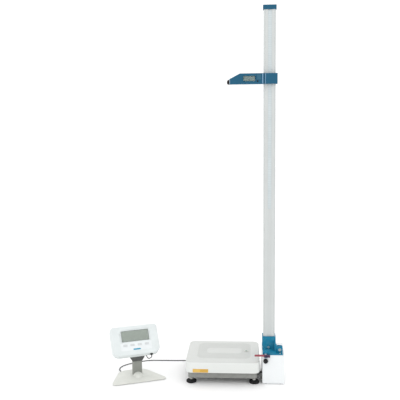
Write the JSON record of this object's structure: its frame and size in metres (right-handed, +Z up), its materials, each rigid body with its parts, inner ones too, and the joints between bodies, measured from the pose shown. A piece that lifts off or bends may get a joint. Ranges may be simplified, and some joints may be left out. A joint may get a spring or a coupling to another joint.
{
  "type": "digital column scale with height rod",
  "caption": "Electronic platform scale on levelling feet with a folding height-measuring column, a sliding head arm and a remote display on a desk stand.",
  "frame": {"origin": "on the floor, under the middle of the weighing platform", "axes": "+Z up, +X along the platform's width towards the column, +Y away from the user's front side"},
  "size_m": [1.0589, 0.4563, 2.2],
  "materials": {
    "white_enamel": "satin powder coat",
    "grey_paint": "satin",
    "box_white": "satin powder coat",
    "blue_paint": "satin",
    "blue_plastic": "fine texture",
    "column_aluminium": "anodised",
    "strip_print": "printed film",
    "zinc_steel": "zinc plated",
    "dark_steel": "satin black",
    "cell_aluminium": "milled",
    "bracket_purple": "satin",
    "black_rubber": "matt",
    "black_plastic": "moulded",
    "red_plastic": "moulded",
    "case_white": "fine texture",
    "stand_ivory": "fine texture",
    "grey_plastic": "fine texture",
    "clear_window": "clear",
    "lcd_grey": "liquid crystal",
    "board_green": "printed circuit",
    "level_green": "bubble level",
    "pad_ivory": "low-friction",
    "key_grey": "membrane",
    "key_teal": "membrane"
  },
  "bodies": {
    "scale_and_stand": {"deck_cover": "white_enamel", "bubble_level": "level_green", "deck_spider": "zinc_steel", "load_cell": "cell_aluminium", "cell_bolts": "dark_steel", "base_frame": "grey_paint", "overload_stops": "zinc_steel", "foot_locknuts": "zinc_steel", "cable_gland": "black_plastic", "floor_lead": "black_rubber", "base_box": "box_white", "base_floor": "box_white", "base_pads": "black_rubber", "tie_bracket": "dark_steel", "hinge_plate": "blue_paint", "m6_bolts": "zinc_steel", "hinge_pin": "zinc_steel", "lever_bracket": "bracket_purple", "pivot_rod": "blue_paint", "tilt_pin": "dark_steel", "tilt_yoke": "dark_steel", "stand_post": "grey_plastic", "stand_base": "stand_ivory", "stand_pads": "black_rubber"},
    "front_left_foot": {"foot_front_left": "black_rubber"},
    "front_right_foot": {"foot_front_right": "black_rubber"},
    "rear_left_foot": {"foot_rear_left": "black_rubber"},
    "rear_right_foot": {"foot_rear_right": "black_rubber"},
    "knob": {"lock_knob": "black_plastic"},
    "lever": {"cam_lever": "red_plastic"},
    "column": {"column_foot": "blue_paint", "column_tube": "column_aluminium", "scale_strip": "strip_print", "top_cap": "blue_plastic", "foot_bolts": "zinc_steel"},
    "slider": {"slider_sleeve": "blue_plastic", "glide_pads": "pad_ivory", "arm_front": "blue_plastic", "arm_rear": "blue_plastic", "arm_tip": "black_rubber", "slider_lens": "clear_window", "slider_lcd": "lcd_grey", "slider_board": "board_green", "battery_door": "blue_plastic", "slider_screws": "zinc_steel"},
    "read_key": {"slider_key": "key_teal"},
    "zero_button": {"slider_button": "black_plastic"},
    "indicator": {"indicator_front": "case_white", "indicator_rear": "case_white", "indicator_lens": "clear_window", "indicator_lcd": "lcd_grey", "keypad_panel": "case_white", "indicator_board": "board_green", "indicator_gland": "black_plastic", "indicator_lead": "black_rubber", "indicator_screws": "zinc_steel"},
    "indicator_key_1": {"key_1": "key_grey"},
    "indicator_key_2": {"key_2": "key_grey"},
    "indicator_key_3": {"key_3": "key_grey"},
    "indicator_key_4": {"key_4": "key_grey"}
  },
  "joints": [
    {"name": "column_fold", "type": "hinge", "parent": "scale_and_stand", "child": "column", "pos_m": [0.34, 0, 0.199], "axis": [0, 1, 0], "range_deg": [0, 90]},
    {"name": "slider_travel", "type": "slide", "parent": "column", "child": "slider", "axis": [0, 0, 1], "range_m": [-0.72, 0.348]},
    {"name": "lever_turn", "type": "hinge", "parent": "scale_and_stand", "child": "lever", "pos_m": [0.2555, -0.166, 0.178], "axis": [0, 0, 1], "range_deg": [0, 90]},
    {"name": "knob_turn", "type": "hinge", "parent": "scale_and_stand", "child": "knob", "pos_m": [0.2555, -0.167, 0.145], "axis": [0, 1, 0], "continuous": true},
    {"name": "indicator_tilt", "type": "hinge", "parent": "scale_and_stand", "child": "indicator", "pos_m": [-0.53925, -0.07569, 0.16437], "axis": [0.9336, 0.3584, 0], "range_deg": [-22, 26]},
    {"name": "read_key_press", "type": "slide", "parent": "slider", "child": "read_key", "axis": [0, 1, 0], "range_m": [0, 0.001], "stiffness_N_per_m": 800},
    {"name": "zero_button_press", "type": "slide", "parent": "slider", "child": "zero_button", "axis": [0, 1, 0], "range_m": [0, 0.001], "stiffness_N_per_m": 800},
    {"name": "front_left_foot_turn", "type": "hinge", "parent": "scale_and_stand", "child": "front_left_foot", "pos_m": [-0.188, -0.138, 0.03], "axis": [0, 0, 1], "continuous": true},
    {"name": "front_right_foot_turn", "type": "hinge", "parent": "scale_and_stand", "child": "front_right_foot", "pos_m": [0.188, -0.138, 0.03], "axis": [0, 0, 1], "continuous": true},
    {"name": "rear_left_foot_turn", "type": "hinge", "parent": "scale_and_stand", "child": "rear_left_foot", "pos_m": [-0.188, 0.138, 0.03], "axis": [0, 0, 1], "continuous": true},
    {"name": "rear_right_foot_turn", "type": "hinge", "parent": "scale_and_stand", "child": "rear_right_foot", "pos_m": [0.188, 0.138, 0.03], "axis": [0, 0, 1], "continuous": true},
    {"name": "key_1_press", "type": "slide", "parent": "indicator", "child": "indicator_key_1", "axis": [-0.2824, 0.7357, -0.6157], "range_m": [0, 0.001], "stiffness_N_per_m": 800},
    {"name": "key_2_press", "type": "slide", "parent": "indicator", "child": "indicator_key_2", "axis": [-0.2824, 0.7357, -0.6157], "range_m": [0, 0.001], "stiffness_N_per_m": 800},
    {"name": "key_3_press", "type": "slide", "parent": "indicator", "child": "indicator_key_3", "axis": [-0.2824, 0.7357, -0.6157], "range_m": [0, 0.001], "stiffness_N_per_m": 800},
    {"name": "key_4_press", "type": "slide", "parent": "indicator", "child": "indicator_key_4", "axis": [-0.2824, 0.7357, -0.6157], "range_m": [0, 0.001], "stiffness_N_per_m": 800}
  ]
}
